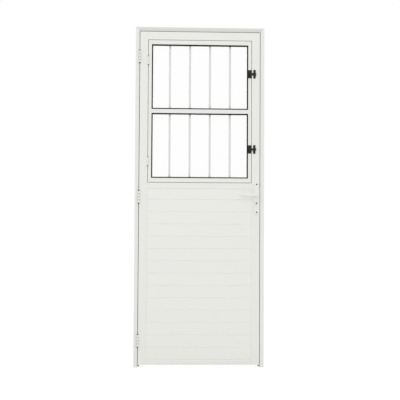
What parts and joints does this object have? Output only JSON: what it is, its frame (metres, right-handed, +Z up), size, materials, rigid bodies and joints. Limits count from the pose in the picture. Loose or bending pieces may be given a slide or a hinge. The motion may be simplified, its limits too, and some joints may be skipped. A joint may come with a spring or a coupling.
{
  "type": "aluminium front door",
  "caption": "White aluminium front door in a mitred frame: slatted lower panel, and a glazed hinged sash with slide bolts over a fixed bar grille.",
  "frame": {"origin": "floor level, middle of the width, middle of the leaf's thickness", "axes": "+X towards the lock side, +Y towards the outside, +Z up"},
  "size_m": [0.8, 0.116, 2.1],
  "materials": {
    "white_profile": "white powder coat, satin",
    "white_slat": "white powder coat, satin",
    "white_hardware": "white enamel, semi-gloss",
    "black_hardware": "black enamel",
    "gasket": "black rubber",
    "seal": "grey rubber",
    "glass": "clear float glass",
    "steel": "zinc plated steel",
    "dark_steel": "blackened steel",
    "nylon": "black nylon"
  },
  "bodies": {
    "frame": {"frame_hinge_jamb": "white_profile", "frame_strike_jamb": "white_profile", "frame_head": "white_profile", "frame_corner_keys": "steel", "seal_hinge_side": "seal", "seal_strike_side": "seal", "seal_head": "seal", "strike_plate": "steel", "hinge_top_frame_wing": "white_hardware", "hinge_mid_frame_wing": "white_hardware", "hinge_bottom_frame_wing": "white_hardware", "door_hinge_pins": "dark_steel", "door_hinge_washers": "nylon"},
    "leaf": {"leaf_hinge_stile": "white_profile", "leaf_lock_stile": "white_profile", "leaf_top_rail": "white_profile", "leaf_mid_rail": "white_profile", "leaf_bottom_rail": "white_profile", "leaf_rail_screws": "steel", "panel_slats": "white_slat", "grille_bars": "white_profile", "sash_stop_hinge_side": "white_profile", "sash_stop_lock_side": "white_profile", "sash_stop_top": "white_profile", "sash_stop_bottom": "white_profile", "hinge_top_leaf_wing": "white_hardware", "hinge_mid_leaf_wing": "white_hardware", "hinge_bottom_leaf_wing": "white_hardware", "sash_hinge_leaf_wings": "white_hardware", "sash_hinge_pins": "dark_steel", "handle_plate_inside": "white_hardware", "handle_plate_outside": "white_hardware", "handle_plate_screws": "dark_steel", "lock_case": "steel", "lock_faceplate": "steel", "lock_cylinder": "steel", "bolt_keeper_upper": "black_hardware", "bolt_keeper_lower": "black_hardware"},
    "sash": {"sash_hinge_stile": "white_profile", "sash_lock_stile": "white_profile", "sash_top_rail": "white_profile", "sash_mid_rail": "white_profile", "sash_bottom_rail": "white_profile", "sash_rail_screws": "steel", "glass_upper": "glass", "glass_lower": "glass", "gasket_upper": "gasket", "gasket_lower": "gasket", "sash_hinge_sash_wings": "white_hardware", "bolt_base_upper": "black_hardware", "bolt_base_lower": "black_hardware"},
    "handle": {"lever_inside": "white_hardware", "lever_outside": "white_hardware", "lever_spindle": "steel", "lock_follower": "steel"},
    "latch": {"latch_bolt": "steel"},
    "dead_bolt": {"dead_bolt": "steel"},
    "key_plug": {"cylinder_plug": "dark_steel"},
    "upper_bolt": {"sash_bolt_upper": "black_hardware"},
    "lower_bolt": {"sash_bolt_lower": "black_hardware"}
  },
  "joints": [
    {"name": "leaf_swing", "type": "hinge", "parent": "frame", "child": "leaf", "pos_m": [-0.3747, -0.0205, 1.044], "axis": [0, 0, -1], "range_deg": [0, 110]},
    {"name": "sash_swing", "type": "hinge", "parent": "leaf", "child": "sash", "pos_m": [-0.3215, -0.0193, 1.578], "axis": [0, 0, -1], "range_deg": [0, 100]},
    {"name": "handle_turn", "type": "hinge", "parent": "leaf", "child": "handle", "pos_m": [0.354, 0, 1.061], "axis": [0, -1, 0], "range_deg": [0, 45], "stiffness_Nm_per_rad": 0.8, "springref_deg": -28.65},
    {"name": "latch_slide", "type": "slide", "parent": "leaf", "child": "latch", "axis": [-1, 0, 0], "range_m": [0, 0.012]},
    {"name": "key_turn", "type": "hinge", "parent": "leaf", "child": "key_plug", "pos_m": [0.354, 0, 1.008], "axis": [0, -1, 0], "range_deg": [0, 360]},
    {"name": "dead_bolt_slide", "type": "slide", "parent": "leaf", "child": "dead_bolt", "axis": [1, 0, 0], "range_m": [0, 0.02]},
    {"name": "upper_bolt_slide", "type": "slide", "parent": "sash", "child": "upper_bolt", "axis": [-1, 0, 0], "range_m": [0, 0.016]},
    {"name": "lower_bolt_slide", "type": "slide", "parent": "sash", "child": "lower_bolt", "axis": [-1, 0, 0], "range_m": [0, 0.016]}
  ],
  "couplings": [
    {"joint": "latch_slide", "follows": "handle_turn", "m_per_rad": 0.01527},
    {"joint": "key_turn", "follows": "dead_bolt_slide", "rad_per_m": 314}
  ]
}
